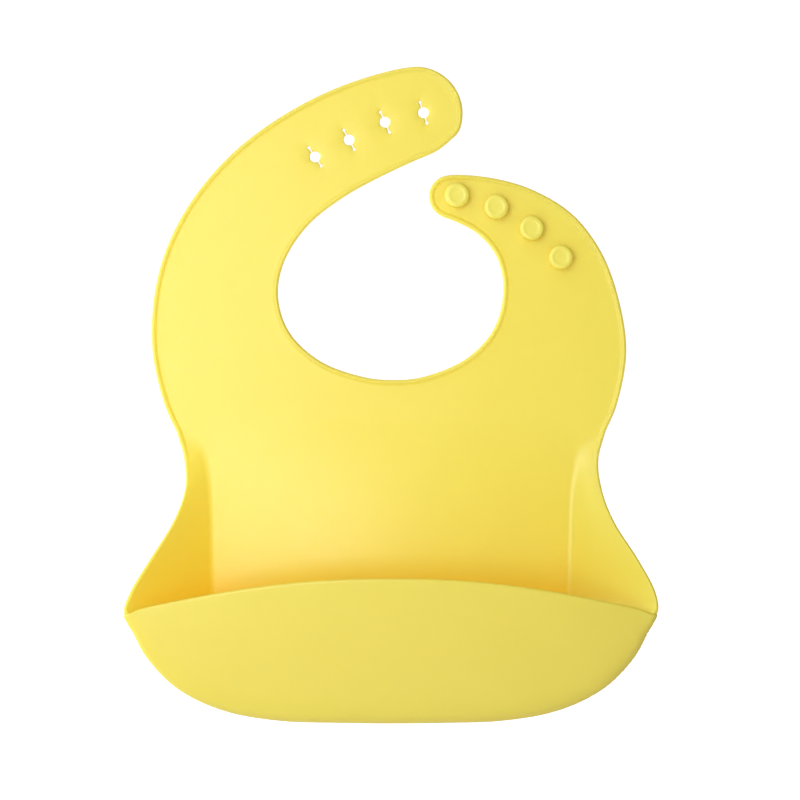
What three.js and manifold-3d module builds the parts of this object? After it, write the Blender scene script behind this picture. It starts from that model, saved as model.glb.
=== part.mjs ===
// A one-piece silicone baby bib with a catch pocket and a stud-and-hole neck fastening.
// Millimetres. +Z is up, the front faces -Y, the flat back is the plane y = 0, and the
// origin is the centre of the neck opening. The moulding is split into the regions that
// bend against each other, with a narrow gap at every flex line.

import * as THREE from 'three';
import { mergeVertices } from 'three/addons/utils/BufferGeometryUtils.js';
import Module from 'manifold-3d';

const wasm = await Module();
wasm.setup();

// ---------------------------------------------------------------- dimensions

const SHEET = 2;                    // thickness of the silicone sheet
const BEAD_WIDTH = 2.3;             // raised rim round the straps, neck and sides
const BEAD_HEIGHT = 0.8;
const BEAD_END_Z = -73;             // the rim fades out here, beside the pocket
const BACK_WALL_COLUMNS = 24;
const FLOOR_FLAT = 15;              // the floor is level for this far either side of its middle
const FIT_GAP = 0.3;                // between regions that stay still against each other
const STRAP_GAP = 1.3;              // at the flex lines across the straps
const WAIST_GAP = 1.8;
const WAIST_Z = -61;                // the fold between the chest and the pocket

const HOLE_TIP = { x: 11.5, z: 75, radius: 21.8 };
const STUD_TIP = { x: 27.6, z: 36.4, radius: 10 };

const HOLE_RADIUS = 2.5;
const SLIT_REACH = 5.1;             // from the hole's centre to the middle of each round slit end
const SLIT_WIDTH = 0.6;
const SLIT_END_RADIUS = 0.7;

const STEM_RADIUS = 2.5;
const STEM_HEIGHT = 2.4;
const HEAD_RADIUS = 5.75;
const HEAD_HEIGHT = 2.6;
const HEAD_EDGE = 0.9;              // radius of the head's rounded edge
const DIMPLE_RADIUS = 3.4;          // a shallow round hollow in the top of the head
const DIMPLE_DEPTH = 0.35;

// Fastening holes from the root of the strap to its tip: centre and the strap's heading there.
const HOLES = [
  { x: -35.3, z: 54.9, heading: 34 },
  { x: -19.5, z: 62.8, heading: 28 },
  { x: -2.8, z: 71.0, heading: 24 },
  { x: 15.1, z: 75.4, heading: 18 },
];

// Studs from the tip of the strap to its root.
const STUDS = [
  { x: 30.7, z: 36.7 },
  { x: 48.8, z: 31.2 },
  { x: 65.1, z: 21.4 },
  { x: 78.6, z: 7.9 },
];

// Flex lines: middle, direction in the sheet and half length of each.
const HOLE_STRAP_FLEX = [
  { x: -79, z: 3, direction: 168, reach: 34 },
  { x: -64.5, z: 31.5, direction: 141, reach: 33 },
  { x: -47.5, z: 49.3, direction: 127, reach: 27 },
  { x: -11.2, z: 67, direction: 117, reach: 27 },
];
const STUD_STRAP_FLEX = [
  { x: 80, z: -8, direction: 12, reach: 33 },
  { x: 71.9, z: 14.6, direction: 30, reach: 30 },
  { x: 39.8, z: 34, direction: 72, reach: 16 },
];

// Where each region's middle is, to tell the pieces apart once the sheet is cut.
const SHEET_REGIONS = {
  chest_panel: [0, -55],
  hole_strap_root: [-72, 18],
  hole_strap_middle: [-57, 42],
  hole_strap_holes: [-28, 58],
  hole_strap_tip: [8, 82],
  stud_strap_root: [72, 2],
  stud_strap_middle: [57, 33],
  stud_strap_tip: [26, 42],
};

// The pocket, by stations down its right side to the middle of its floor. back is the
// crease on the back wall as (x, z); edge is the outer corner as (x, z, depth forward);
// lip is the free top edge of the front wall; round is the corner's radius. Stations
// without a lip are on the gusset, whose own free edge is the corner line.
const POCKET_STATIONS = [
  { back: [97.5, -72], edge: [99.6, -73, 1], round: 0 },
  { back: [88.4, -81], edge: [95.8, -86, 3.4], round: 0 },
  { back: [85.2, -94], edge: [94.9, -99.6, 8.8], round: 0 },
  { back: [84.2, -108], edge: [99.2, -114, 18], round: 0 },
  { back: [83.8, -124], edge: [108, -130, 30.5], round: 0 },
  { back: [83.5, -139], edge: [115.4, -143.4, 38.5], round: 0 },
  { back: [83.2, -150], edge: [118.2, -152.3, 42.5], round: 0 },
  { back: [82.2, -160.5], edge: [115.2, -162.2, 42.3], lip: [108, -149.6, 44.2], round: 7 },
  { back: [78.6, -171.5], edge: [109, -175.6, 41.5], lip: [93, -146.3, 46.6], round: 10 },
  { back: [70.8, -181.5], edge: [96, -189.4, 41.5], lip: [76, -142.9, 48.4], round: 13 },
  { back: [57, -188.6], edge: [76, -199.3, 41.5], lip: [57.5, -139.9, 49.6], round: 15 },
  { back: [38.5, -191.5], edge: [51, -204, 42], lip: [38.5, -137.7, 50.3], round: 16 },
  { back: [19.5, -192], edge: [25, -205, 42.3], lip: [19, -136.5, 50.7], round: 16 },
  { back: [0, -192], edge: [0, -205.3, 42.4], lip: [0, -136.2, 50.8], round: 16 },
];
const RIGHT_FLARE = [0, 0.3, 2.3, 2.7, 3.1, 2.1, 0];  // the right gusset opens out further
const BULGE_DEPTH = 8;              // the pocket's back wall bellies forward this far
const BULGE_HALF_WIDTH = 85;
const BULGE_TOP_Z = -66;
const BULGE_BOTTOM_Z = -192;
const GUSSET_FOOT = 9;              // station where the gusset becomes the floor
const WALL_START = 6.45;            // the front wall starts just inside the corner
const GUSSET_START = 0.2;           // the gusset starts just below the rim's end

const SILICONE = { color: 0xf2e26e, roughness: 0.55, metalness: 0 };
const STUD_SILICONE = { color: 0xf0de66, roughness: 0.5, metalness: 0 };

// ---------------------------------------------------------------- solids

const radians = THREE.MathUtils.degToRad;

function toSolid(geometry) {
  const bare = geometry.clone();
  bare.deleteAttribute('normal');
  bare.deleteAttribute('uv');
  const merged = mergeVertices(bare, 1e-5);
  return new wasm.Manifold(new wasm.Mesh({
    numProp: 3,
    vertProperties: new Float32Array(merged.attributes.position.array),
    triVerts: new Uint32Array(merged.index.array),
  }));
}

function toGeometry(solid) {
  const { numProp, vertProperties, triVerts } = solid.getMesh();
  const positions = new Float32Array((vertProperties.length / numProp) * 3);
  for (let i = 0; i < positions.length / 3; i += 1) {
    positions.set(vertProperties.subarray(i * numProp, i * numProp + 3), i * 3);
  }
  const geometry = new THREE.BufferGeometry();
  geometry.setAttribute('position', new THREE.BufferAttribute(positions, 3));
  geometry.setIndex(new THREE.BufferAttribute(new Uint32Array(triVerts), 1));
  geometry.computeVertexNormals();
  return geometry;
}

// Extrudes an outline drawn in (x, z) forward, from one depth in front of y = 0 to another.
function plate(outline, fromDepth, toDepth) {
  const geometry = new THREE.ExtrudeGeometry(new THREE.Shape(outline), {
    depth: toDepth - fromDepth,
    bevelEnabled: false,
  });
  geometry.translate(0, 0, fromDepth);
  geometry.rotateX(Math.PI / 2);
  return toSolid(geometry);
}

// A thin upright slab along a flex line, to cut the sheet into regions.
function flexCut({ x, z, direction, reach }) {
  const slab = new THREE.BoxGeometry(reach * 2, SHEET * 6, STRAP_GAP);
  slab.rotateY(-radians(direction));
  slab.translate(x, 0, z);
  return toSolid(slab);
}

// Cylinder along Y, from behind the sheet to in front of it.
function drill(x, z, radius) {
  const cylinder = new THREE.CylinderGeometry(radius, radius, SHEET * 6, 32);
  cylinder.translate(x, 0, z);
  return toSolid(cylinder);
}

// A closed sheet of the given thickness about a grid of points, rows by columns.
function shell(grid, thickness) {
  const rows = grid.length;
  const columns = grid[0].length;
  const positions = [];
  const indices = [];
  const along = new THREE.Vector3();
  const across = new THREE.Vector3();
  for (const side of [1, -1]) {
    for (let r = 0; r < rows; r += 1) {
      for (let c = 0; c < columns; c += 1) {
        along.subVectors(grid[Math.min(r + 1, rows - 1)][c], grid[Math.max(r - 1, 0)][c]);
        across.subVectors(grid[r][Math.min(c + 1, columns - 1)], grid[r][Math.max(c - 1, 0)]);
        const normal = along.clone().cross(across).normalize();
        const point = grid[r][c].clone().addScaledVector(normal, side * thickness / 2);
        positions.push(point.x, point.y, point.z);
      }
    }
  }
  const back = rows * columns;
  const at = (r, c) => r * columns + c;
  const quad = (a, b, c, d) => indices.push(a, b, c, a, c, d);
  for (let r = 0; r < rows - 1; r += 1) {
    for (let c = 0; c < columns - 1; c += 1) {
      quad(at(r, c), at(r + 1, c), at(r + 1, c + 1), at(r, c + 1));
      quad(back + at(r, c), back + at(r, c + 1), back + at(r + 1, c + 1), back + at(r + 1, c));
    }
  }
  const rim = [];
  for (let c = 0; c < columns - 1; c += 1) rim.push(at(0, c));
  for (let r = 0; r < rows - 1; r += 1) rim.push(at(r, columns - 1));
  for (let c = columns - 1; c > 0; c -= 1) rim.push(at(rows - 1, c));
  for (let r = rows - 1; r > 0; r -= 1) rim.push(at(r, 0));
  rim.forEach((a, i) => {
    const b = rim[(i + 1) % rim.length];
    quad(a, b, back + b, back + a);
  });
  const geometry = new THREE.BufferGeometry();
  geometry.setAttribute('position', new THREE.Float32BufferAttribute(positions, 3));
  geometry.setIndex(indices);
  return toSolid(geometry);
}

// ---------------------------------------------------------------- outlines

function smooth(points, spacing) {
  const curve = new THREE.CatmullRomCurve3(
    points.map(([x, z]) => new THREE.Vector3(x, z, 0)),
    false,
    'centripetal',
  );
  const count = Math.ceil(curve.getLength() / spacing);
  return curve.getSpacedPoints(count).map(({ x, y }) => new THREE.Vector2(x, y));
}

// Points along an arc, in degrees, for a smooth line to run through.
function arc({ x, z, radius }, from, to, count) {
  return Array.from({ length: count }, (_, i) => {
    const angle = radians(from + ((to - from) * i) / (count - 1));
    return [x + radius * Math.cos(angle), z + radius * Math.sin(angle)];
  });
}

// The edge of the straps, the neck opening and the sides, from the left of the waist round
// both straps to the right of the waist.
const UPPER_EDGE = [
  [-95.6, -92], [-98.2, -78], [-105.3, -60], [-110.8, -36], [-110.2, -11], [-104, 13],
  [-91.5, 36], [-72, 58], [-47, 76], [-21, 88.5],
  ...arc(HOLE_TIP, 104, -22, 6),
  [27.7, 62.6], [21.4, 57.6], [11.5, 53.2], [0, 47.9], [-20.6, 36.9], [-38.3, 23.2],
  [-49.5, 6.3], [-52.5, -9.5], [-47.5, -26.2], [-33, -40], [-12, -47.6], [1, -48.8],
  [14, -47.6], [34.4, -39.3], [47.5, -25.5], [52.2, -7], [48.9, 8.6], [40.5, 18.9],
  [30.2, 24.7],
  ...arc(STUD_TIP, 238, 90, 6),
  [47, 45], [66, 39.4], [84.4, 28], [98, 10], [106.2, -13], [109.3, -36],
  [105, -60], [98.2, -78], [95.6, -92],
];

// A line moved sideways by a distance, to the right of its direction of travel.
function offset(line, distance) {
  return line.map((point, i) => {
    const before = line[Math.max(i - 1, 0)];
    const after = line[Math.min(i + 1, line.length - 1)];
    const heading = after.clone().sub(before).normalize();
    return new THREE.Vector2(point.x + heading.y * distance, point.y - heading.x * distance);
  });
}

// ---------------------------------------------------------------- pocket surface

// How far the back wall bellies forward of its own flat plane.
function bulge(x, z) {
  const across = Math.max(0, 1 - (x / BULGE_HALF_WIDTH) ** 2);
  const down = (BULGE_TOP_Z - z) / (BULGE_TOP_Z - BULGE_BOTTOM_Z);
  if (down <= 0 || down >= 1) return 0;
  return BULGE_DEPTH * across * Math.sin(Math.PI * down);
}

const onBackWall = (x, z) => new THREE.Vector3(x, -SHEET / 2 - bulge(x, z), z);
const toPoint = ([x, z, depth]) => (
  depth === undefined ? onBackWall(x, z) : new THREE.Vector3(x, -depth, z)
);

function stationCurve(pick) {
  const shifted = (side) => POCKET_STATIONS.map((station, i) => {
    const flare = side > 0 && pick(station).length > 2 ? RIGHT_FLARE[i] ?? 0 : 0;
    const point = toPoint(pick(station));
    return point.setX(side * (point.x + flare));
  });
  const left = shifted(-1).slice(0, -1);
  const right = shifted(1);
  return new THREE.CatmullRomCurve3([...left, ...right.reverse()], false, 'catmullrom', 0.5);
}

const LAST_STATION = 2 * (POCKET_STATIONS.length - 1);
const CURVES = {
  back: stationCurve(({ back }) => back),
  edge: stationCurve(({ edge }) => edge),
  lip: stationCurve(({ edge, lip }) => lip ?? edge),
};

function roundAt(station) {
  const fromEnd = Math.min(station, LAST_STATION - station);
  const i = Math.min(Math.floor(fromEnd), POCKET_STATIONS.length - 2);
  const { round: a } = POCKET_STATIONS[i];
  const { round: b } = POCKET_STATIONS[i + 1];
  return a + (b - a) * (fromEnd - i);
}

// One rib of the pocket from the crease forward. share 0 to 1 is the gusset or floor, 1 to 2
// the rounded corner and 2 to 3 the front wall up to the lip.
function rib(station, share) {
  const t = station / LAST_STATION;
  const back = CURVES.back.getPoint(t);
  const edge = CURVES.edge.getPoint(t);
  const lip = CURVES.lip.getPoint(t);
  const round = roundAt(station);
  const bandEnd = edge.clone().add(back.clone().sub(edge).setLength(round));
  if (share <= 1) return back.lerp(bandEnd, share);
  const wallStart = edge.clone().add(lip.clone().sub(edge).setLength(round));
  if (share >= 2) return wallStart.lerp(lip, share - 2);
  return new THREE.QuadraticBezierCurve3(bandEnd, edge, wallStart).getPoint(share - 1);
}

// Grid of rib points between two stations, at the given shares.
function ribs(from, to, count, shares) {
  return Array.from({ length: count + 1 }, (_, i) => {
    const station = from + ((to - from) * i) / count;
    return shares.map((share) => rib(station, share));
  });
}

// ---------------------------------------------------------------- the sheet

const upperEdge = smooth(UPPER_EDGE, 4).filter(({ y }) => y > BEAD_END_Z);
const rim = [...upperEdge, ...offset(upperEdge, BEAD_WIDTH).reverse()];
const rimSolid = plate(rim, SHEET / 2, SHEET + BEAD_HEIGHT);
const WAIST_TOP_Z = WAIST_Z + WAIST_GAP / 2;
const WAIST_BOTTOM_Z = WAIST_Z - WAIST_GAP / 2;

// Everything between two heights, to trim solids with.
function layer(fromZ, toZ) {
  const box = new THREE.BoxGeometry(300, 60, toZ - fromZ);
  box.translate(0, 0, (fromZ + toZ) / 2);
  return toSolid(box);
}

// The flat upper part of the bib, cut into the regions that flex against each other.
function makeUpper() {
  let sheet = plate(upperEdge, 0, SHEET).add(rimSolid);
  sheet = sheet.subtract(layer(BEAD_END_Z - 1, WAIST_TOP_Z));
  for (const line of [...HOLE_STRAP_FLEX, ...STUD_STRAP_FLEX]) {
    sheet = sheet.subtract(flexCut(line));
  }
  for (const { x, z, heading } of HOLES) {
    const slit = new THREE.BoxGeometry(SLIT_WIDTH, SHEET * 6, SLIT_REACH * 2);
    slit.rotateY(-radians(heading));
    slit.translate(x, 0, z);
    sheet = sheet.subtract(toSolid(slit)).subtract(drill(x, z, HOLE_RADIUS));
    for (const end of [-SLIT_REACH, SLIT_REACH]) {
      const dx = -Math.sin(radians(heading)) * end;
      const dz = Math.cos(radians(heading)) * end;
      sheet = sheet.subtract(drill(x + dx, z + dz, SLIT_END_RADIUS));
    }
  }
  return sheet;
}

// The piece of the cut sheet that holds a point.
function pieceAt(pieces, [x, z]) {
  return pieces.find((piece) => !piece.intersect(drill(x, z, 1)).isEmpty());
}

// The right-hand edge of the back wall, from the waist down its side and round the crease
// nearly to the middle of the floor.
function backWallSide() {
  const side = upperEdge.filter(({ x, y }) => x > 0 && y < WAIST_BOTTOM_Z);
  const crease = smooth(POCKET_STATIONS.map(({ back: [x, z] }) => [x, z]), 5)
    .map(({ x, y }) => new THREE.Vector2(x + SHEET / 2, y - SHEET / 2));
  const top = new THREE.Vector2(side[0].x, WAIST_BOTTOM_Z);
  return [top, ...side, ...crease]
    .filter(({ x, y }, i, all) => x > FLOOR_FLAT && (i === 0 || y < all[i - 1].y - 0.05));
}

// The bellied back wall of the pocket, grown by a margin all round.
function makeBackWall(margin) {
  const grid = offset(backWallSide(), -margin).map(({ x: halfWidth, y: z }) => (
    Array.from({ length: BACK_WALL_COLUMNS + 1 }, (_, c) => (
      onBackWall(halfWidth * (1 - (2 * c) / BACK_WALL_COLUMNS), z)
    ))
  ));
  return shell(grid, SHEET + 2 * margin);
}

// ---------------------------------------------------------------- the pocket

const BAND_SHARES = [0, 0.2, 0.4, 0.6, 0.8, 0.984];
const WALL_SHARES = [1, 1.2, 1.4, 1.6, 1.8, 2, 2.25, 2.5, 2.75, 3];
const STATION_GAP = 0.02;           // share of a station left open between two regions

// Gusset or floor: a band forward from the crease, trimmed to stand clear of the back wall.
function makeBand(from, to, count, backWall) {
  return shell(ribs(from, to, count, BAND_SHARES), SHEET).subtract(backWall);
}

function makePocket() {
  const grownWall = makeBackWall(FIT_GAP);
  const rightFoot = LAST_STATION - GUSSET_FOOT;
  const rightTop = LAST_STATION - GUSSET_START;
  const wallEnd = LAST_STATION - WALL_START;
  const sideRims = rimSolid.intersect(layer(BEAD_END_Z - 1, WAIST_BOTTOM_Z));
  return {
    pocket_back: makeBackWall(0).add(sideRims),
    left_gusset: makeBand(GUSSET_START, GUSSET_FOOT - STATION_GAP, 26, grownWall),
    pocket_floor: makeBand(GUSSET_FOOT + STATION_GAP, rightFoot - STATION_GAP, 20, grownWall),
    right_gusset: makeBand(rightFoot + STATION_GAP, rightTop, 26, grownWall),
    pocket_front: shell(ribs(WALL_START, wallEnd, 48, WALL_SHARES), SHEET),
  };
}

// ---------------------------------------------------------------- the studs

function makeStud({ x, z }) {
  const head = STEM_HEIGHT;
  const top = STEM_HEIGHT + HEAD_HEIGHT;
  const inner = HEAD_RADIUS - HEAD_EDGE;
  const edge = Array.from({ length: 5 }, (_, i) => {
    const angle = (Math.PI / 2) * (i / 4);
    return [inner + HEAD_EDGE * Math.cos(angle), top - HEAD_EDGE * (1 - Math.sin(angle))];
  });
  const profile = [
    [0, FIT_GAP], [STEM_RADIUS, FIT_GAP], [STEM_RADIUS, head], [inner, head],
    [HEAD_RADIUS, head + HEAD_EDGE / 2], ...edge,
    [DIMPLE_RADIUS, top], [DIMPLE_RADIUS - DIMPLE_DEPTH, top - DIMPLE_DEPTH],
    [0, top - DIMPLE_DEPTH],
  ];
  const stud = new THREE.LatheGeometry(profile.map(([r, y]) => new THREE.Vector2(r, y)), 28);
  stud.rotateX(Math.PI);
  stud.translate(x, -SHEET, z);
  return toSolid(stud);
}

// ---------------------------------------------------------------- assembly

const bib = new THREE.Group();
bib.name = 'silicone_bib';

function addMesh(parent, name, solid, finish) {
  const mesh = new THREE.Mesh(toGeometry(solid), new THREE.MeshStandardMaterial(finish));
  mesh.name = name;
  parent.add(mesh);
}

const pieces = makeUpper().decompose();
for (const [name, point] of Object.entries(SHEET_REGIONS)) {
  addMesh(bib, name, pieceAt(pieces, point), SILICONE);
}

const pocket = new THREE.Group();
pocket.name = 'pocket';
for (const [name, solid] of Object.entries(makePocket())) {
  addMesh(pocket, name, solid, SILICONE);
}
bib.add(pocket);

const studs = new THREE.Group();
studs.name = 'studs';
STUDS.forEach((stud, i) => addMesh(studs, `stud_${i + 1}`, makeStud(stud), STUD_SILICONE));
bib.add(studs);

export default bib;
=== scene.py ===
"""Silicone bib: builds the looks of the bib over its CAD frame and sets the picture up."""

import math

import bpy
import numpy as np
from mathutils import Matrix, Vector
from mathutils.geometry import delaunay_2d_cdt

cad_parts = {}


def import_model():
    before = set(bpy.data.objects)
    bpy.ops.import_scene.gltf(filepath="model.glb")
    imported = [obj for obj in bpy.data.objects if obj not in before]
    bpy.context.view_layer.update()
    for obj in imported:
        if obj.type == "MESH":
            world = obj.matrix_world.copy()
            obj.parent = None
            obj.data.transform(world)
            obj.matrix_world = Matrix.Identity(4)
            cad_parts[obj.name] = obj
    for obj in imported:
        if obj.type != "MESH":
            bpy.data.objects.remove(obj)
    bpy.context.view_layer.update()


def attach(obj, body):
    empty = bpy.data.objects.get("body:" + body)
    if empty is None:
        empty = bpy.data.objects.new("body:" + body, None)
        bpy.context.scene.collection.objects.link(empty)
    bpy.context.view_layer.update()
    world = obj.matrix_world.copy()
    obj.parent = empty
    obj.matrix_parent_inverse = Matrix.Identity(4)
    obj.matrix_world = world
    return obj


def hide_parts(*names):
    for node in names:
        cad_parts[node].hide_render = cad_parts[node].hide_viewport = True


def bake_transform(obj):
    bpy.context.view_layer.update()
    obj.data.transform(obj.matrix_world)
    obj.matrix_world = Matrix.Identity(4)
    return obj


# ---------------------------------------------------------------- dimensions, in mm

MM = 0.001
HALF_SHEET = 1.0
MIDDLE_Y = -HALF_SHEET  # the middle of the 2 mm sheet, whose back is y = 0

# Rows of vertices in from a free edge, and how high the two faces stand there above the
# middle of the sheet: plain for a rounded edge, rim for the raised bead round the bib.
EDGE_ROWS = np.array([0, 0.15, 0.45, 0.9, 1.4, 1.9, 2.3, 2.8])
EDGE_PLAIN = np.array([0, 0.52, 0.83, 0.99, 1, 1, 1, 1])
EDGE_RIM = np.array([0.35, 1.1, 1.56, 1.8, 1.79, 1.52, 1.12, 1.0])
HOLE_ROWS = 3  # of the edge rows, round a fastening hole
RIM_FADE = (0.0, 1.6)  # pocket stations over which the rim sinks into the sheet

OUTLINE_STEP = 2.0  # between the points of the upper edge
SHEET_GRID = 4.5  # between the vertices that fill the flat sheet
GRID_CLEARANCE = 2.6  # of those vertices from every edge

# The round tips of the two straps, as (x, z, radius).
HOLE_TIP = (11.5, 75.0, 21.8)
STUD_TIP = (27.6, 36.4, 10.0)

# The fastening holes, from the root of the strap to its tip, as (x, z, heading in degrees).
# Each is a round hole between two slits that end in small round holes.
HOLE_RADIUS = 2.5
SLIT_REACH = 5.1  # from the hole's centre to the middle of each round slit end
SLIT_HALF_WIDTH = 0.3
SLIT_END_RADIUS = 0.7
SLIT_SHOULDER = 3.6  # a point of the slit's straight sides
HOLES = [(-35.3, 54.9, 34), (-19.5, 62.8, 28), (-2.8, 71.0, 24), (15.1, 75.4, 18)]

# The pocket's stations down its right side: the crease on the back wall as (x, z), the
# outer corner and the lip as (x, z, depth forward), and the corner's radius.
POCKET = [
    ((97.5, -72), (99.6, -73, 1), None, 0),
    ((88.4, -81), (95.8, -86, 3.4), None, 0),
    ((85.2, -94), (94.9, -99.6, 8.8), None, 0),
    ((84.2, -108), (99.2, -114, 18), None, 0),
    ((83.8, -124), (108, -130, 30.5), None, 0),
    ((83.5, -139), (115.4, -143.4, 38.5), None, 0),
    ((83.2, -150), (117.5, -152.3, 42.5), None, 0),
    ((82.2, -160.5), (115.2, -162.2, 42.3), (108, -149.6, 44.2), 7),
    ((78.6, -171.5), (109, -175.6, 41.5), (93, -146.3, 46.6), 10),
    ((70.8, -181.5), (96, -189.4, 41.5), (76, -142.9, 48.4), 13),
    ((57, -188.6), (76, -199.3, 41.5), (57.5, -139.9, 49.6), 15),
    ((38.5, -191.5), (51, -204, 42), (38.5, -137.7, 50.3), 16),
    ((19.5, -192), (25, -205, 42.3), (19, -136.5, 50.7), 16),
    ((0, -192), (0, -205.3, 42.4), (0, -136.2, 50.8), 16),
]
RIGHT_FLARE = [0, 0.3, 2.3, 2.7, 3.1, 2.1]  # the right gusset opens out further, by station
BULGE_DEPTH = 8.0  # the pocket's back wall bellies forward this far
BULGE_HALF_WIDTH = 85.0
BULGE_TOP_Z = -66.0
BULGE_BOTTOM_Z = -192.0
CORNER = 6  # the station where the gusset's free edge turns into the lip
MIDDLE_STATION = len(POCKET) - 1
LAST_STATION = 2 * MIDDLE_STATION
RIBS = [(0, 5, 35), (5, 7, 24), (7, MIDDLE_STATION, 42)]  # from station, to station, ribs

# Rows of vertices along a rib, from the back wall to the rows of its free edge.
CREASE_ROUND = 2.6  # how far the fillet at the crease reaches each way
CREASE_SHARE = 0.45  # of a short rib, which the fillet takes at most
CORNER_SHARE = 0.9  # of a low front wall, which the round corner takes at most
CREASE_SPAN = 7.0  # rows stand close together for this far from the start of a rib
CREASE_ROWS = 12
RIB_ROWS = 60
FILLET_POINTS = 12
ROUND_POINTS = 16

# Flex lines across the straps, as (x, z, direction in degrees, half the length that bends).
HOLE_FLEX = [(-79, 3, 168, 9), (-64.5, 31.5, 141, 9), (-47.5, 49.3, 127, 9), (-11.2, 67, 117, 12)]
STUD_FLEX = [(80, -8, 12, 8), (71.9, 14.6, 30, 8), (39.8, 34, 72, 7)]
ROOT_CUT = 13.0  # a strap's first skin piece starts this far before its first flex line
SIDE_SPLIT_Z = 47.7  # above this height the skin on either side belongs to the hole strap
WAIST_CUTS = (-40.0, -82.0)  # the waist's skin piece, a little longer than the bend

STUDS = [(30.7, 36.7), (48.8, 31.2), (65.1, 21.4), (78.6, 7.9)]  # from the tip to the root

CURVE_POINTS = 24  # worked out between two points of a curve, before it is evenly spaced
HOLE_POINTS = 15
SLIT_END_POINTS = 9
NOTHING = 1e-3  # lengths below this count as none
TINY = 1e-12  # keeps a division clear of zero
MERGE_DISTANCE = 1e-7


# ---------------------------------------------------------------- curves


def catmull(points, t):
    """A uniform Catmull-Rom curve through points, at t in whole steps from point to point."""
    i = min(int(t), len(points) - 2)
    f = t - i
    p0, p1, p2, p3 = (points[min(max(i + k, 0), len(points) - 1)] for k in (-1, 0, 1, 2))
    if i == 0:
        p0 = 2 * p1 - p2
    if i == len(points) - 2:
        p3 = 2 * p2 - p1
    a, b = (p2 - p0) / 2, (p3 - p1) / 2
    return (
        (2 * p1 - 2 * p2 + a + b) * f**3 + (3 * p2 - 3 * p1 - 2 * a - b) * f**2 + a * f + p1
    )


def resample(line, lengths):
    """Points of a polyline at the given distances along it."""
    along = np.concatenate([[0], np.cumsum(np.linalg.norm(np.diff(line, axis=0), axis=1))])
    return np.stack([np.interp(lengths, along, line[:, k]) for k in range(line.shape[1])], axis=1)


def line_length(line):
    return float(np.linalg.norm(np.diff(line, axis=0), axis=1).sum())


def smooth_line(points, step):
    """A centripetal Catmull-Rom curve through points, evenly spaced."""
    p = np.array(points, float)
    p = np.vstack([2 * p[0] - p[1], p, 2 * p[-1] - p[-2]])
    knots = np.concatenate([[0], np.cumsum(np.sqrt(np.linalg.norm(np.diff(p, axis=0), axis=1)))])
    dense = []
    for i in range(1, len(p) - 2):
        t0, t1, t2, t3 = knots[i - 1 : i + 3]
        t = np.linspace(t1, t2, CURVE_POINTS, endpoint=False)[:, None]
        a1 = (t1 - t) / (t1 - t0) * p[i - 1] + (t - t0) / (t1 - t0) * p[i]
        a2 = (t2 - t) / (t2 - t1) * p[i] + (t - t1) / (t2 - t1) * p[i + 1]
        a3 = (t3 - t) / (t3 - t2) * p[i + 1] + (t - t2) / (t3 - t2) * p[i + 2]
        b1 = (t2 - t) / (t2 - t0) * a1 + (t - t0) / (t2 - t0) * a2
        b2 = (t3 - t) / (t3 - t1) * a2 + (t - t1) / (t3 - t1) * a3
        dense.append((t2 - t) / (t2 - t1) * b1 + (t - t1) / (t2 - t1) * b2)
    dense = np.vstack([*dense, p[-2:-1]])
    length = line_length(dense)
    return resample(dense, np.linspace(0, length, round(length / step) + 1))


def arc(circle, start, end, count):
    """Points along an arc of a circle (x, z, radius), in degrees."""
    x, z, radius = circle
    angles = np.radians(np.linspace(start, end, count))
    return [(x + radius * math.cos(a), z + radius * math.sin(a)) for a in angles]


def unit(v):
    return v / max(np.linalg.norm(v), TINY)


def bezier(a, b, c, count):
    t = np.linspace(0, 1, count)[:, None]
    return (1 - t) ** 2 * a + 2 * t * (1 - t) * b + t**2 * c


def side_normals(line):
    """Unit vectors to the right of a line's direction of travel, in its plane."""
    ahead = np.vstack([line[1:], line[-1:]]) - np.vstack([line[:1], line[:-1]])
    ahead /= np.linalg.norm(ahead, axis=1, keepdims=True)
    return np.stack([ahead[:, 1], -ahead[:, 0]], axis=1)


# ---------------------------------------------------------------- the bib's lines

UPPER_EDGE = [
    (-99.6, -73), (-105.3, -60), (-110.8, -36), (-110.2, -11), (-104, 13),
    (-91.5, 36), (-72, 58), (-47, 76), (-21, 88.5),
    *arc(HOLE_TIP, 104, -22, 6),
    (27.7, 62.6), (21.4, 57.6), (11.5, 53.2), (0, 47.9), (-20.6, 36.9), (-38.3, 23.2),
    (-49.5, 6.3), (-52.5, -9.5), (-47.5, -26.2), (-33, -40), (-12, -47.6), (1, -48.8),
    (14, -47.6), (34.4, -39.3), (47.5, -25.5), (52.2, -7), (48.9, 8.6), (40.5, 18.9),
    (30.2, 24.7),
    *arc(STUD_TIP, 238, 90, 6),
    (47, 45), (66, 39.4), (84.4, 28), (98, 10), (106.2, -13), (109.3, -36),
    (105, -60), (99.6, -73),
]


def bulge(x, z):
    """How far the back wall bellies forward of its own flat plane."""
    across = max(0, 1 - (x / BULGE_HALF_WIDTH) ** 2)
    down = (BULGE_TOP_Z - z) / (BULGE_TOP_Z - BULGE_BOTTOM_Z)
    return BULGE_DEPTH * across * math.sin(math.pi * down) if 0 < down < 1 else 0.0


def on_back_wall(x, z):
    return np.array([x, MIDDLE_Y - bulge(x, z), z])


def both_sides(points):
    """Stations down the right side as a full curve, from the left of the waist to the right."""
    sides = []
    for side in (-1, 1):
        line = []
        for i, (x, z, *depth) in enumerate(points):
            point = np.array([x, -depth[0], z]) if depth else on_back_wall(x, z)
            if depth and side > 0 and i < len(RIGHT_FLARE):
                point[0] += RIGHT_FLARE[i]
            line.append(point * (side, 1, 1))
        sides.append(np.array(line, float))
    return np.vstack([sides[0][:-1], sides[1][::-1]])


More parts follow.
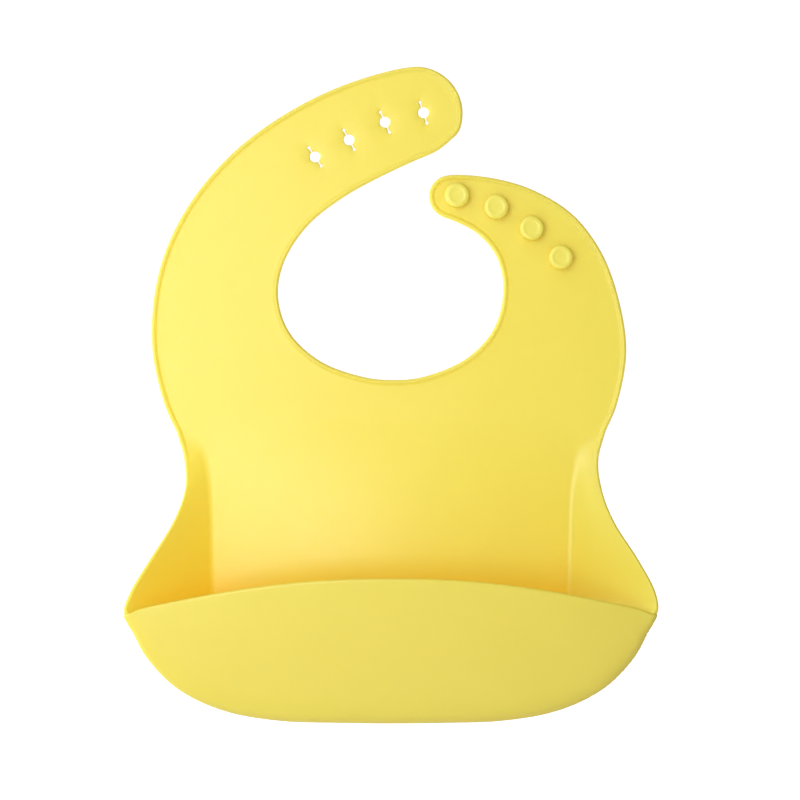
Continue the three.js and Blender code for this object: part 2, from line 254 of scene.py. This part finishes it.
BACK_LINE = both_sides([back for back, _, _, _ in POCKET])
EDGE_LINE = both_sides([edge for _, edge, _, _ in POCKET])
LIP_LINE = both_sides([lip or edge for _, edge, lip, _ in POCKET])
ROUNDS = np.array([row[3] for row in POCKET], float)


def rib(station):
    """Points of one rib of the pocket from the back wall to its free edge."""
    back, edge, lip = (catmull(line, station) for line in (BACK_LINE, EDGE_LINE, LIP_LINE))
    from_end = min(station, LAST_STATION - station)
    if from_end <= CORNER:
        edge = lip
    out = edge - back
    start = back - unit(out * (1, 0, 1)) * CREASE_ROUND
    start = on_back_wall(start[0], start[2])
    foot = back + unit(out) * min(CREASE_ROUND, CREASE_SHARE * np.linalg.norm(out))
    line = [bezier(start, back, foot, FILLET_POINTS)]
    wall = lip - edge
    wall_length = np.linalg.norm(wall)
    if wall_length > NOTHING:
        radius = np.interp(from_end, range(len(ROUNDS)), ROUNDS)
        radius = min(radius, CORNER_SHARE * wall_length)
        start, end = edge - unit(out) * radius, edge + unit(wall) * radius
        line.append(bezier(start, edge, end, ROUND_POINTS))
    line.append(lip[None])
    line = np.vstack(line)
    length = line_length(line)
    free = length - EDGE_ROWS[-1]
    span = min(CREASE_SPAN, free * CREASE_ROWS / RIB_ROWS)
    crease_rows = np.linspace(0, span, CREASE_ROWS, endpoint=False)
    rows = np.linspace(span, free, RIB_ROWS - CREASE_ROWS + 1)
    return resample(line, np.concatenate([crease_rows, rows, length - EDGE_ROWS[-2::-1]]))


# ---------------------------------------------------------------- the middle surface


def fastening_hole(x, z, heading):
    """Outline of a round hole with a slit at each end, across the strap."""
    slit_angle = math.degrees(math.asin(SLIT_HALF_WIDTH / HOLE_RADIUS))
    end_angle = math.degrees(math.asin(SLIT_HALF_WIDTH / SLIT_END_RADIUS))
    half = [
        *arc(
            (SLIT_REACH, 0, SLIT_END_RADIUS), end_angle - 180, 180 - end_angle, SLIT_END_POINTS
        ),
        (SLIT_SHOULDER, SLIT_HALF_WIDTH),
        *arc((0, 0, HOLE_RADIUS), slit_angle, 180 - slit_angle, HOLE_POINTS),
        (-SLIT_SHOULDER, SLIT_HALF_WIDTH),
    ]
    local = np.array(half + [(-u, -v) for u, v in half])
    a = math.radians(heading + 90)
    u, v = np.array([math.cos(a), math.sin(a)]), np.array([-math.sin(a), math.cos(a)])
    return np.array([x, z]) + local[:, :1] * u + local[:, 1:] * v


def inside(points, polygon):
    """Which points are inside a closed polygon."""
    x, z = points[:, 0:1], points[:, 1:2]
    x0, z0 = polygon[:, 0], polygon[:, 1]
    x1, z1 = np.roll(x0, -1), np.roll(z0, -1)
    crosses = (z0 > z) != (z1 > z)
    with np.errstate(divide="ignore", invalid="ignore"):
        at = (x1 - x0) * (z - z0) / (z1 - z0) + x0
    return (crosses & (x < at)).sum(axis=1) % 2 == 1


class Surface:
    """The middle of the sheet: points, faces wound to face the front, and face heights."""

    def __init__(self):
        self.points, self.front, self.back, self.edge = [], [], [], []
        self.faces = []

    def add(self, point, front=1.0, back=1.0, edge=False):
        self.points.append(point)
        self.front.append(front)
        self.back.append(back)
        self.edge.append(edge)
        return len(self.points) - 1

    def add_edge_row(self, k, point, rim):
        front = EDGE_PLAIN[k] + (EDGE_RIM[k] - EDGE_PLAIN[k]) * rim
        return self.add(point, front, EDGE_PLAIN[k], edge=k == 0)


def flat_point(p):
    return np.array([p[0], MIDDLE_Y, p[1]])


def add_pocket(surface):
    """Adds the ribs of the pocket. Returns their vertices, by rib and row."""
    half = [0.0]
    for start, end, count in RIBS:
        half += np.linspace(start, end, count + 1)[1:].tolist()
    stations = half + [LAST_STATION - s for s in half[-2::-1]]
    grid = []
    for s in stations:
        from_end = min(s, LAST_STATION - s)
        fade = np.clip((from_end - RIM_FADE[0]) / (RIM_FADE[1] - RIM_FADE[0]), 0, 1)
        rim = 1 - fade * fade * (3 - 2 * fade)
        points = rib(s)
        column = [surface.add(p) for p in points[:RIB_ROWS]]
        last = len(EDGE_ROWS) - 1
        column += [surface.add_edge_row(last - k, p, rim) for k, p in enumerate(points[RIB_ROWS:])]
        grid.append(column)
    for a, b in zip(grid, grid[1:]):
        surface.faces += [(a[i], a[i + 1], b[i + 1], b[i]) for i in range(len(a) - 1)]
    return grid


def add_rim(surface, grid):
    """Adds the rows along the edge of the upper part. Returns its innermost row."""
    line = smooth_line(UPPER_EDGE, OUTLINE_STEP)
    normals = side_normals(line)
    rows = [grid[0][: -len(EDGE_ROWS) - 1 : -1]]
    for p, n in zip(line[1:-1], normals[1:-1]):
        row = [surface.add_edge_row(k, flat_point(p + n * d), 1) for k, d in enumerate(EDGE_ROWS)]
        rows.append(row)
    rows.append(grid[-1][: -len(EDGE_ROWS) - 1 : -1])
    for a, b in zip(rows, rows[1:]):
        surface.faces += [(a[k], a[k + 1], b[k + 1], b[k]) for k in range(len(EDGE_ROWS) - 1)]
    return [row[-1] for row in rows]


def add_hole(surface, outline):
    """Adds the rounded edge of a fastening hole. Returns its outermost row."""
    closed = np.vstack([outline[-1:], outline, outline[:1]])
    normals = side_normals(closed)[1:-1]
    rows = []
    for k in range(HOLE_ROWS):
        ring = outline + normals * EDGE_ROWS[k]
        rows.append([surface.add_edge_row(k, flat_point(p), 0) for p in ring])
    count = len(outline)
    for a, b in zip(rows, rows[1:]):
        surface.faces += [
            (a[(i + 1) % count], a[i], b[i], b[(i + 1) % count]) for i in range(count)
        ]
    return rows[-1]


def add_sheet(surface, grid, rim_row, hole_rows):
    """Fills the flat part between the rim, the pocket's ribs and the fastening holes."""
    crease = [column[0] for column in grid]
    left_side = grid[0][1:RIB_ROWS]
    right_side = grid[-1][RIB_ROWS - 1 : 0 : -1]
    boundary = rim_row + right_side + crease[::-1] + left_side
    loops = [boundary, *hole_rows]
    used = [v for loop in loops for v in loop]
    local = {v: i for i, v in enumerate(used)}
    places = np.array([surface.points[v] for v in used])[:, [0, 2]]
    polygons = [places[[local[v] for v in loop]] for loop in loops]

    xs = np.arange(places[:, 0].min(), places[:, 0].max(), SHEET_GRID)
    zs = np.arange(places[:, 1].min(), places[:, 1].max(), SHEET_GRID * math.sqrt(3) / 2)
    shifts = [j % 2 * SHEET_GRID / 2 for j in range(len(zs))]
    grid_points = np.array([(x + shift, z) for shift, z in zip(shifts, zs) for x in xs])
    keep = inside(grid_points, polygons[0])
    for hole in polygons[1:]:
        keep &= ~inside(grid_points, hole)
    grid_points = grid_points[keep]
    gaps = np.linalg.norm(grid_points[:, None] - places[None], axis=2).min(axis=1)
    grid_points = grid_points[gaps > GRID_CLEARANCE]
    used += [surface.add(on_back_wall(*p)) for p in grid_points]

    everything = np.vstack([places, grid_points])
    edges = []
    for loop in loops:
        edges += [(local[a], local[b]) for a, b in zip(loop, loop[1:] + loop[:1])]
    vertices, _, triangles, origins, _, _ = delaunay_2d_cdt(
        [Vector(p) for p in everything], edges, [], 0, MERGE_DISTANCE
    )
    centres = np.array([np.mean([vertices[i] for i in t], axis=0) for t in triangles])
    keep = inside(centres, polygons[0])
    for hole in polygons[1:]:
        keep &= ~inside(centres, hole)
    for t in np.array(triangles)[keep]:
        a, b, c = (used[origins[i][0]] for i in t)
        pa, pb, pc = (surface.points[v] for v in (a, b, c))
        faces_front = np.cross(pb - pa, pc - pa)[1] < 0
        surface.faces.append((a, b, c) if faces_front else (a, c, b))


def make_surface():
    surface = Surface()
    grid = add_pocket(surface)
    rim_row = add_rim(surface, grid)
    hole_rows = [add_hole(surface, fastening_hole(*hole)) for hole in HOLES]
    add_sheet(surface, grid, rim_row, hole_rows)
    return surface


# ---------------------------------------------------------------- pieces of the skin


def vertex_normals(points, faces):
    """Area-weighted vertex normals of a mesh of triangles and quads."""
    normals = np.zeros_like(points)
    for size in (3, 4):
        chosen = np.array([f for f in faces if len(f) == size])
        a, b, c, d = (points[chosen[:, k % size]] for k in (0, 1, 2, 3))
        if size == 3:
            d = a
        cross = np.cross(c - a, d - b) if size == 4 else np.cross(b - a, c - a)
        for k in range(size):
            np.add.at(normals, chosen[:, k], cross)
    return normals / np.maximum(np.linalg.norm(normals, axis=1, keepdims=True), TINY)


class Strap:
    """Which piece of a strap's skin a point is in, from the flex lines across it."""

    def __init__(self, flex, turn):
        self.flex = flex
        self.headings = [self.heading(direction, turn) for _, _, direction, _ in flex]
        first = np.array(flex[0][:2]) - self.headings[0] * ROOT_CUT
        self.cuts = [(first, self.headings[0])]
        for i in range(len(flex) - 1):
            middle = (np.array(flex[i][:2]) + np.array(flex[i + 1][:2])) / 2
            self.cuts.append((middle, unit(self.headings[i] + self.headings[i + 1])))

    @staticmethod
    def heading(direction, turn):
        a = math.radians(direction + turn)
        return np.array([math.cos(a), math.sin(a)])

    def piece(self, p):
        """0 before the strap starts, then 1 for its first piece, and so on."""
        passed = 0
        for middle, heading in self.cuts:
            if (p - middle) @ heading <= 0:
                break
            passed += 1
        return passed


def skin_piece(centre, hole_strap, stud_strap):
    """The name of the piece of skin that a face belongs to, from its middle."""
    x, _, z = centre
    if z < WAIST_CUTS[1]:
        return "pocket_skin"
    if z < WAIST_CUTS[0]:
        return "waist_skin"
    on_hole_side = x < 0 or z > SIDE_SPLIT_Z
    strap = hole_strap if on_hole_side else stud_strap
    name = "hole_strap_skin" if on_hole_side else "stud_strap_skin"
    index = strap.piece(np.array([x, z]))
    return f"{name}_{index}" if index else "chest_skin"


def make_skin(materials):
    """Builds the whole skin, then splits it into pieces that share their edges and normals."""
    surface = make_surface()
    middle = np.array(surface.points)
    normals = vertex_normals(middle, surface.faces)
    front = middle + normals * np.array(surface.front)[:, None] * HALF_SHEET
    back = middle - normals * np.array(surface.back)[:, None] * HALF_SHEET
    count = len(middle)
    back_index = np.where(surface.edge, np.arange(count), np.arange(count) + count)
    points = np.vstack([front, back]) * MM
    faces = [tuple(f) for f in surface.faces]
    back_faces = [tuple(int(back_index[v]) for v in reversed(f)) for f in faces]
    skin_normals = vertex_normals(points, faces + back_faces)

    hole_strap, stud_strap = Strap(HOLE_FLEX, -90), Strap(STUD_FLEX, 90)
    groups = {}
    for f, b in zip(faces, back_faces):
        name = skin_piece(middle[list(f)].mean(axis=0), hole_strap, stud_strap)
        groups.setdefault(name, []).append((f, b))
    return {
        name: make_piece(name, group, points, skin_normals, back_index, materials)
        for name, group in sorted(groups.items())
    }


def make_piece(name, group, points, skin_normals, back_index, materials):
    """One closed piece: its front and back faces, and a wall across the sheet at each seam.

    The walls lie inside the silicone, so their material lets the light in it pass."""
    skin = [face for pair in group for face in pair]
    directed = {(f[i], f[(i + 1) % len(f)]) for f, _ in group for i in range(len(f))}
    walls = []
    for a, b in sorted(directed):
        if (b, a) not in directed and (back_index[a] != a or back_index[b] != b):
            corners = [b, a, int(back_index[a]), int(back_index[b])]
            walls.append(tuple(dict.fromkeys(corners)))
    used = sorted({v for f in skin + walls for v in f})
    local = {v: i for i, v in enumerate(used)}
    mesh = bpy.data.meshes.new(name)
    faces = [tuple(local[v] for v in f) for f in skin + walls]
    mesh.from_pydata(points[used].tolist(), [], faces)
    mesh.polygons.foreach_set("use_smooth", [True] * len(faces))
    loop_normals = []
    for f in skin:
        loop_normals += [tuple(skin_normals[v]) for v in f]
    for f, polygon in zip(walls, mesh.polygons[len(skin) :]):
        loop_normals += [tuple(polygon.normal)] * len(f)
    mesh.normals_split_custom_set(loop_normals)
    for material in materials:
        mesh.materials.append(material)
    for polygon in mesh.polygons[len(skin) :]:
        polygon.material_index = 1
    obj = bpy.data.objects.new(name, mesh)
    bpy.context.scene.collection.objects.link(obj)
    return obj


# ---------------------------------------------------------------- the studs

# Half the section of a stud, as (radius, height above the sheet), from the middle of its
# foot, which is set a little into the sheet, to the middle of its dished top.
STUD_SECTION = [
    (0, -0.2), (3.9, -0.2), (3.35, 0.03), (2.9, 0.25), (2.62, 0.6), (2.5, 1.1), (2.5, 1.9),
    (2.66, 2.24), (3.1, 2.4), (4.5, 2.42), (5.25, 2.52), (5.62, 2.86), (5.75, 3.4),
    (5.66, 4.1), (5.32, 4.62), (4.75, 4.92), (4.1, 5.0), (3.65, 4.99), (3.35, 4.95),
    (3.05, 4.9), (2.6, 4.87), (1.3, 4.86), (0, 4.86),
]
STUD_SIDES = 56
SHEET_FRONT_Y = MIDDLE_Y - HALF_SHEET


def make_stud(name, x, z, material):
    """A mushroom-shaped stud standing forward from the sheet."""
    points, rings = [], []
    for radius, height in STUD_SECTION:
        sides = 1 if radius == 0 else STUD_SIDES
        ring = []
        for i in range(sides):
            a = 2 * math.pi * i / sides
            at = (x + radius * math.cos(a), SHEET_FRONT_Y - height, z + radius * math.sin(a))
            ring.append(len(points))
            points.append([c * MM for c in at])
        rings.append(ring)
    faces = []
    for lower, upper in zip(rings, rings[1:]):
        for i in range(STUD_SIDES):
            j = (i + 1) % STUD_SIDES
            corners = [lower[i % len(lower)], upper[i % len(upper)],
                       upper[j % len(upper)], lower[j % len(lower)]]
            faces.append(tuple(dict.fromkeys(corners)))
    mesh = bpy.data.meshes.new(name)
    mesh.from_pydata(points, [], faces)
    mesh.polygons.foreach_set("use_smooth", [True] * len(faces))
    mesh.materials.append(material)
    obj = bpy.data.objects.new(name, mesh)
    bpy.context.scene.collection.objects.link(obj)
    return obj


# ---------------------------------------------------------------- materials

BODY_PALE, BODY_DEEP = (0.89, 0.94, 0.155), (0.885, 0.93, 0.145)
STUD_PALE, STUD_DEEP = (0.94, 0.86, 0.12), (0.935, 0.85, 0.11)
SHEET_TRANSLUCENCY = 0.4  # share of the light that goes through each face of the sheet
STUD_TRANSLUCENCY = 0.12
SILICONE_IOR = 1.42
GLOSS = 1.0
ROUGHNESS = 0.34
ROUGHNESS_SPREAD = 0.05

# Noises as (scale, detail), and the range of a noise's values that is put to use.
TONE_NOISE = (16, 3)
GLOSS_NOISE = (420, 4)
NOISE_RANGE = (0.35, 0.65)
# A slight waviness and a fine skin grain, as (scale, detail, strength, depth in metres).
BUMPS = [(38, 2, 0.35, 0.0003), (2600, 3, 0.16, 0.00005)]

# Painted shade: the base colour turns a deep orange yellow in recesses, standing in for light that
# bounces about in translucent silicone.
PAINTED_RECESS_SHADE = (0.97, 0.64, 0.02)
RECESS_REACH = 0.09
RECESS_SAMPLES = 12
RECESS_SIGHT = (0.08, 0.56)  # how much of the sky a deep recess and an open face see


def mixed(tree, factor, first, second):
    """A mix of two colours, each of them a plain colour or a node's output."""
    node = tree.nodes.new("ShaderNodeMix")
    node.data_type = "RGBA"
    tree.links.new(factor, node.inputs["Factor"])
    for socket, colour in (("A", first), ("B", second)):
        if isinstance(colour, tuple):
            node.inputs[socket].default_value = (*colour, 1)
        else:
            tree.links.new(colour, node.inputs[socket])
    return node.outputs["Result"]


def ramp(tree, value, span, low=0.0, high=1.0, style="LINEAR"):
    """Takes a value over a span to the range from low to high."""
    node = tree.nodes.new("ShaderNodeMapRange")
    node.interpolation_type = style
    for end, number in zip(("From Min", "From Max", "To Min", "To Max"), (*span, low, high)):
        node.inputs[end].default_value = number
    tree.links.new(value, node.inputs["Value"])
    return node.outputs["Result"]


def axes(tree, kind):
    """The x, y and z of a texture coordinate of the given kind."""
    place = tree.nodes.new("ShaderNodeTexCoord")
    split = tree.nodes.new("ShaderNodeSeparateXYZ")
    tree.links.new(place.outputs[kind], split.inputs["Vector"])
    return split.outputs


def new_material(name):
    """A material with nodes, and its node tree."""
    material = bpy.data.materials.new(name)
    material.use_nodes = True
    return material, material.node_tree


def silicone(name, pale, deep, translucency):
    """Matte moulded silicone: soft colour changes, a fine skin grain, a slight waviness, and
    painted shade that turns its recesses a deep orange yellow.
    """
    material, tree = new_material(name)
    nodes, links = tree.nodes, tree.links
    shader = nodes["Principled BSDF"]
    shader.inputs["IOR"].default_value = SILICONE_IOR
    shader.inputs["Specular IOR Level"].default_value = GLOSS
    place = nodes.new("ShaderNodeTexCoord")

    def noise(scale, detail):
        node = nodes.new("ShaderNodeTexNoise")
        node.inputs["Scale"].default_value = scale
        node.inputs["Detail"].default_value = detail
        links.new(place.outputs["Object"], node.inputs["Vector"])
        return node.outputs["Fac"]

    # Painted shade: where the occlusion finds little open sky, the base colour is mixed towards a
    # deep orange yellow.
    open_sky = nodes.new("ShaderNodeAmbientOcclusion")
    open_sky.samples = RECESS_SAMPLES
    open_sky.inputs["Distance"].default_value = RECESS_REACH
    painted_shade_amount = ramp(tree, open_sky.outputs["AO"], RECESS_SIGHT, 1, 0)
    skin = mixed(tree, ramp(tree, noise(*TONE_NOISE), NOISE_RANGE), pale, deep)
    skin_and_painted_shade = mixed(tree, painted_shade_amount, skin, PAINTED_RECESS_SHADE)
    links.new(skin_and_painted_shade, shader.inputs["Base Color"])
    least, most = ROUGHNESS - ROUGHNESS_SPREAD, ROUGHNESS + ROUGHNESS_SPREAD
    roughness = ramp(tree, noise(*GLOSS_NOISE), NOISE_RANGE, least, most)
    links.new(roughness, shader.inputs["Roughness"])

    normal = None
    for scale, detail, strength, depth in BUMPS:
        bump = nodes.new("ShaderNodeBump")
        bump.inputs["Strength"].default_value = strength
        bump.inputs["Distance"].default_value = depth
        links.new(noise(scale, detail), bump.inputs["Height"])
        if normal:
            links.new(normal, bump.inputs["Normal"])
        normal = bump.outputs["Normal"]
    links.new(normal, shader.inputs["Normal"])

    glow = nodes.new("ShaderNodeBsdfTranslucent")
    links.new(skin_and_painted_shade, glow.inputs["Color"])
    links.new(normal, glow.inputs["Normal"])
    surface = nodes.new("ShaderNodeMixShader")
    surface.inputs["Fac"].default_value = translucency
    links.new(shader.outputs["BSDF"], surface.inputs[1])
    links.new(glow.outputs["BSDF"], surface.inputs[2])
    links.new(surface.outputs["Shader"], nodes["Material Output"].inputs["Surface"])
    return material


def clear(name):
    """Lets light through unchanged, for faces that lie inside the silicone."""
    material, tree = new_material(name)
    through = tree.nodes.new("ShaderNodeBsdfTransparent")
    tree.links.new(through.outputs["BSDF"], tree.nodes["Material Output"].inputs["Surface"])
    return material


# ---------------------------------------------------------------- studio, in metres

CAMERA_AT = (0.0042, -0.85, -0.0581)
CAMERA_LENS = 82.2
FLOOR_Z = -0.30
FLOOR_SIZE = 8
FLOOR_COLOUR = (0.8, 0.8, 0.8, 1)
FLOOR_ROUGHNESS = 0.9
FLOOR_GLOW = 0.75
FLOOR_GLOW_SPAN = (0.0, 0.35)  # the glow grows between these distances behind the bib

# The room's light by direction: white behind the bib, pale round the horizon, and above it
# bright on the left and dim and warmer on the right.
BEHIND = (1.05, 1.05, 1.05)
HORIZON = (0.52, 0.51, 0.5)
LEFT = (1.25, 1.25, 1.25)
RIGHT = (0.04, 0.03, 0.02)
# Where one gives way to the next, as parts of the direction's x, z and y.
LEFT_TO_RIGHT = (-0.45, 0.45)
HORIZON_UP = (0.02, 0.3)
ROUND_TO_BEHIND = (0.88, 0.95)

SOFTBOX = {
    "at": (-0.36, -0.88, -0.06), "aim": (-0.36, 0, -0.06), "size": (0.62, 0.7), "power": 5.4,
}
SIDE_LIGHT = {
    "at": (-0.7, 0.35, -0.1), "aim": (-0.09, -0.02, -0.14), "size": (0.4, 0.4), "power": 5.0,
}


def room_light(world):
    """Colours the room by the direction looked in."""
    world.use_nodes = True
    tree = world.node_tree
    direction = axes(tree, "Generated")

    def blend(axis, span, first, second):
        fade = ramp(tree, direction[axis], span, style="SMOOTHSTEP")
        return mixed(tree, fade, first, second)

    front = blend("X", LEFT_TO_RIGHT, LEFT, RIGHT)
    above_horizon = blend("Z", HORIZON_UP, HORIZON, front)
    room = blend("Y", ROUND_TO_BEHIND, above_horizon, BEHIND)
    tree.links.new(room, tree.nodes["Background"].inputs["Color"])


def area_light(name, at, aim, size, power):
    data = bpy.data.lights.new(name, "AREA")
    data.shape = "RECTANGLE"
    data.size, data.size_y = size
    data.energy = power
    light = bpy.data.objects.new(name, data)
    light.location = at
    light.rotation_euler = (Vector(aim) - Vector(at)).to_track_quat("-Z", "Y").to_euler()
    bpy.context.scene.collection.objects.link(light)


def floor_paint():
    """Pale paint that glows a little behind the bib, so that the floor there is pure white."""
    paint, tree = new_material("floor_paint")
    shader = tree.nodes["Principled BSDF"]
    shader.inputs["Base Color"].default_value = FLOOR_COLOUR
    shader.inputs["Roughness"].default_value = FLOOR_ROUGHNESS
    shader.inputs["Emission Color"].default_value = (1, 1, 1, 1)
    behind = axes(tree, "Object")["Y"]
    glow = ramp(tree, behind, FLOOR_GLOW_SPAN, high=FLOOR_GLOW, style="SMOOTHSTEP")
    tree.links.new(glow, shader.inputs["Emission Strength"])
    return paint


def make_studio():
    scene = bpy.context.scene
    scene.world = bpy.data.worlds.new("studio")
    room_light(scene.world)
    scene.view_settings.view_transform = "Standard"

    bpy.ops.mesh.primitive_plane_add(size=FLOOR_SIZE, location=(0, 0, FLOOR_Z))
    floor = bpy.context.object
    floor.name = "studio_floor"
    floor.data.materials.append(floor_paint())

    area_light("softbox", **SOFTBOX)
    area_light("side_light", **SIDE_LIGHT)

    data = bpy.data.cameras.new("camera")
    data.lens = CAMERA_LENS
    camera = bpy.data.objects.new("camera", data)
    camera.location = CAMERA_AT
    camera.rotation_euler = (math.radians(90), 0, 0)
    scene.collection.objects.link(camera)
    scene.camera = camera


# ---------------------------------------------------------------- joining to the frame

SKIN_STANDS_FOR = {
    "chest_skin": ["chest_panel"],
    "waist_skin": ["chest_panel", "pocket_back"],
    "pocket_skin": ["pocket_back", "left_gusset", "right_gusset", "pocket_floor", "pocket_front"],
    "hole_strap_skin_1": ["hole_strap_root"],
    "hole_strap_skin_2": ["hole_strap_middle"],
    "hole_strap_skin_3": ["hole_strap_holes"],
    "hole_strap_skin_4": ["hole_strap_tip"],
    "stud_strap_skin_1": ["stud_strap_root"],
    "stud_strap_skin_2": ["stud_strap_middle"],
    "stud_strap_skin_3": ["stud_strap_tip"],
}
STUD_BODIES = ["stud_strap_3", "stud_strap_2", "stud_strap_2", "stud_strap_1"]  # as in STUDS


def join_strap(skins, flex, turn, skin_name):
    """Bakes the placement of each piece of a strap's skin into its mesh, one piece for each flex
    line.
    """
    for i, (x, z, direction, reach) in enumerate(flex, 1):
        heading = Strap.heading(direction, turn)
        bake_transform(skins[f"{skin_name}_{i}"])


def join_to_frame(skins):
    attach(skins["chest_skin"], "chest")
    join_strap(skins, HOLE_FLEX, -90, "hole_strap_skin")
    join_strap(skins, STUD_FLEX, 90, "stud_strap_skin")
    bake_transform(skins["waist_skin"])
    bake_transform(skins["pocket_skin"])
    for name, nodes in SKIN_STANDS_FOR.items():
        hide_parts(*nodes)


def corners(box):
    return [[float(c) for c in corner] for corner in box]


def main():
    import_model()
    body = silicone("silicone_body", BODY_PALE, BODY_DEEP, SHEET_TRANSLUCENCY)
    stud = silicone("silicone_studs", STUD_PALE, STUD_DEEP, STUD_TRANSLUCENCY)
    join_to_frame(make_skin([body, clear("inside_silicone")]))
    for i, ((x, z), body_name) in enumerate(zip(STUDS, STUD_BODIES), 1):
        obj = make_stud(f"stud_skin_{i}", x, z, stud)
        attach(obj, body_name)
        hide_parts(f"stud_{i}")
    make_studio()


main()
